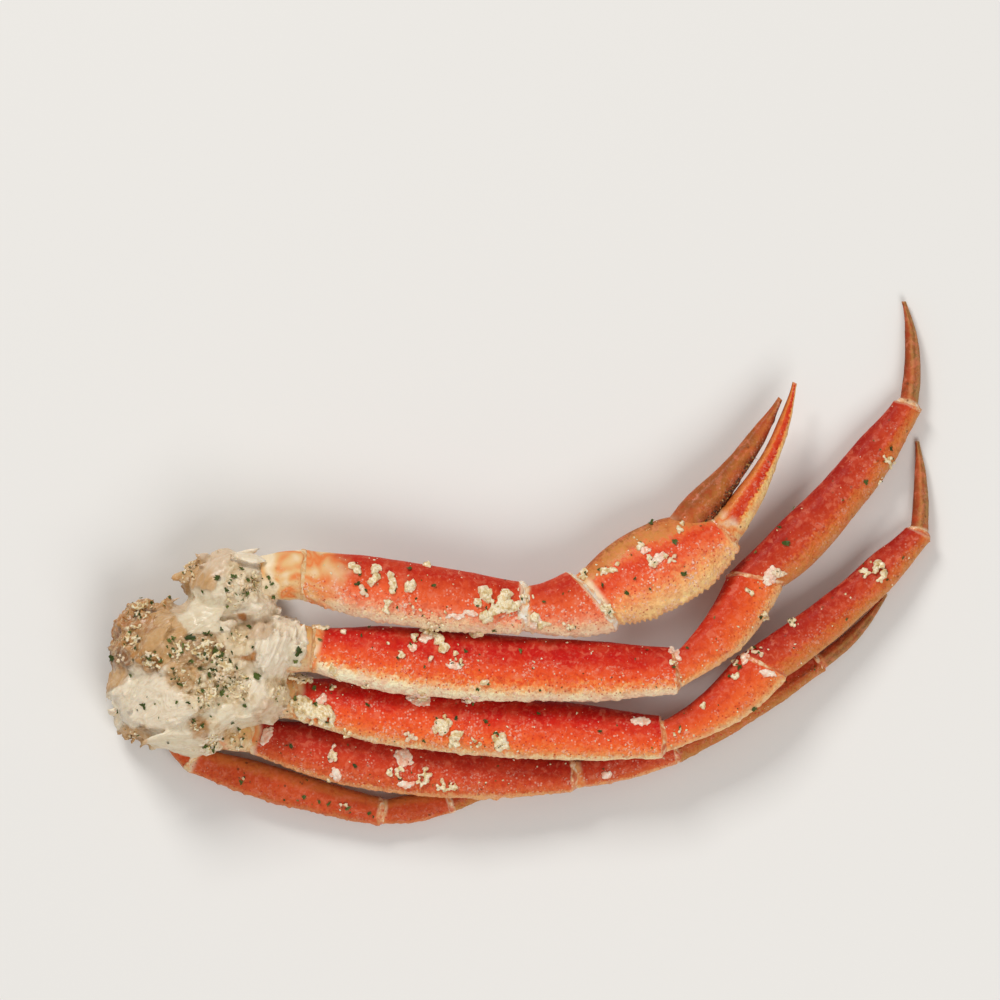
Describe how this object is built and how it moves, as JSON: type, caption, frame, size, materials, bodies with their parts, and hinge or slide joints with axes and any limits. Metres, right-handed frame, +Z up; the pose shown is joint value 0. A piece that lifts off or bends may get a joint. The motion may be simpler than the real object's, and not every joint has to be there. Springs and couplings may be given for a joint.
{
  "type": "snow crab cluster",
  "caption": "Cooked snow crab cluster: shoulder meat with its claw arm and walking legs, dressed with chopped garlic and herbs, lying flat.",
  "frame": {"origin": "centre of the bounding box in plan, on the surface that the cluster lies on", "axes": "+X from the shoulder along the legs, +Y towards the claw tip, +Z up out of the shown side"},
  "size_m": [0.2308, 0.1471, 0.0354],
  "materials": {
    "red_shell": "wet cooked crab shell: red back edge shading through orange to a cream belly edge, fine granules",
    "dark_shell": "thin darker red-brown crab shell of the rear legs and leg tips, with dark specks",
    "shoulder_meat": "moist white fibrous crab meat and membrane with tan and grey-brown patches",
    "garlic": "chopped cooked garlic in butter, ivory, slightly glossy",
    "herb": "chopped dark green herb leaf"
  },
  "bodies": {
    "root": {"claw_carpus": "red_shell", "claw_finger": "red_shell", "claw_hand": "red_shell", "claw_ischium": "red_shell", "claw_merus": "red_shell", "leg1_carpus": "red_shell", "leg1_coxa": "red_shell", "leg1_dactylus": "dark_shell", "leg1_merus": "red_shell", "leg1_propodus": "red_shell", "leg2_carpus": "red_shell", "leg2_coxa": "red_shell", "leg2_dactylus": "dark_shell", "leg2_merus": "red_shell", "leg2_propodus": "red_shell", "leg3_carpus": "dark_shell", "leg3_coxa": "dark_shell", "leg3_dactylus": "dark_shell", "leg3_merus": "dark_shell", "leg3_propodus": "dark_shell", "leg4_carpus": "dark_shell", "leg4_coxa": "dark_shell", "leg4_dactylus": "dark_shell", "leg4_merus": "dark_shell", "leg4_propodus": "dark_shell", "shoulder": "shoulder_meat"}
  },
  "joints": []
}
